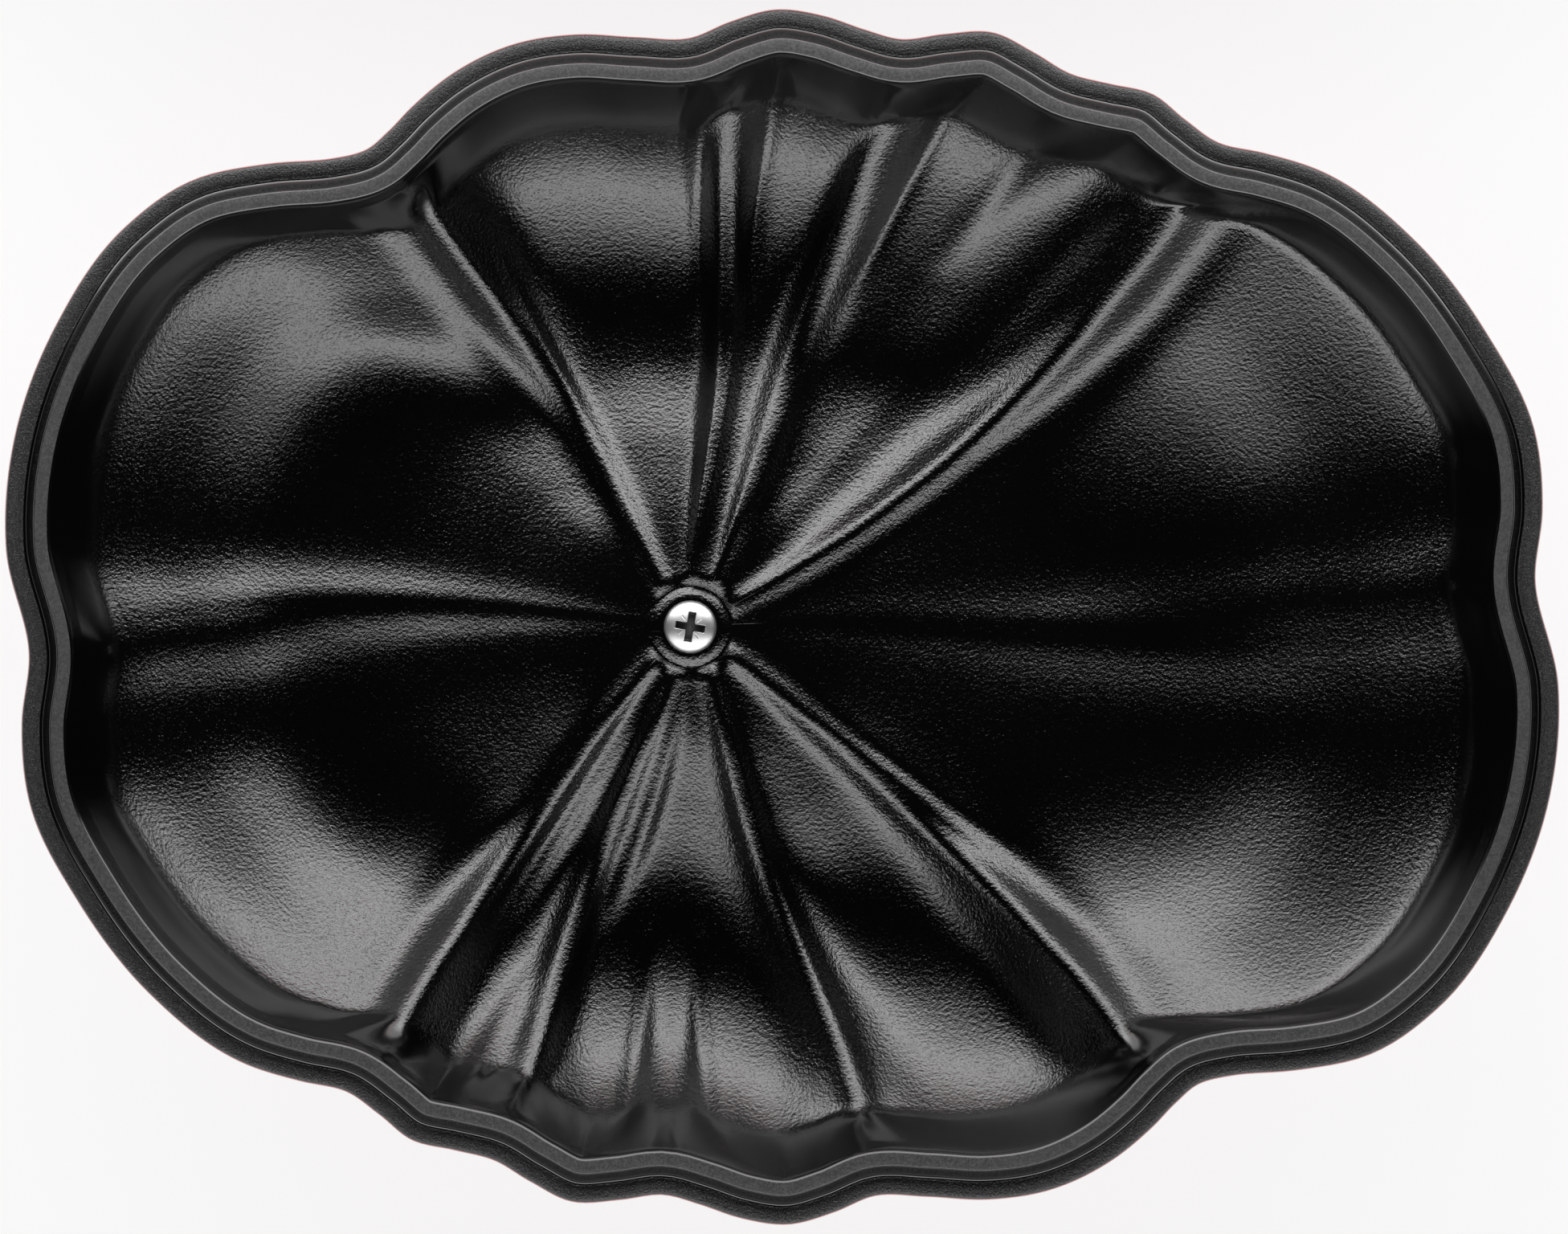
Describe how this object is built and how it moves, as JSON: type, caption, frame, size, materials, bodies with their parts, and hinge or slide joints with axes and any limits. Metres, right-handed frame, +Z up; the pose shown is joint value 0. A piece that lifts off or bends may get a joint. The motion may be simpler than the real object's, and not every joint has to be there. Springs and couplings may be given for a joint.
{
  "type": "oval lobed cocotte with a lid",
  "caption": "Enamelled cast-iron cooking pot with a lobed oval rim and loop handles. Its ribbed lid with a stem knob lies turned over in front of it, and turns over onto the pot.",
  "frame": {"origin": "centre of the pot's flat base, on the table", "axes": "+Z up, +Y from the turned-over lid towards the pot, +X along the pot's length towards one of its handles"},
  "size_m": [0.314, 0.4617, 0.098],
  "materials": {
    "red_enamel": "gloss red enamel outside, matt black enamel inside",
    "black_enamel": "textured matt black enamel inside, gloss red enamel outside",
    "nickel": "satin nickel plate",
    "steel": "bright"
  },
  "bodies": {
    "pot": {"pot": "red_enamel"},
    "lid": {"lid": "black_enamel", "knob": "nickel", "knob_screw": "steel"}
  },
  "joints": [
    {"name": "lid_turn_over", "type": "hinge", "parent": "pot", "child": "lid", "pos_m": [0, -0.132, 0.07605], "axis": [-1, 0, 0], "range_deg": [0, 180]}
  ]
}
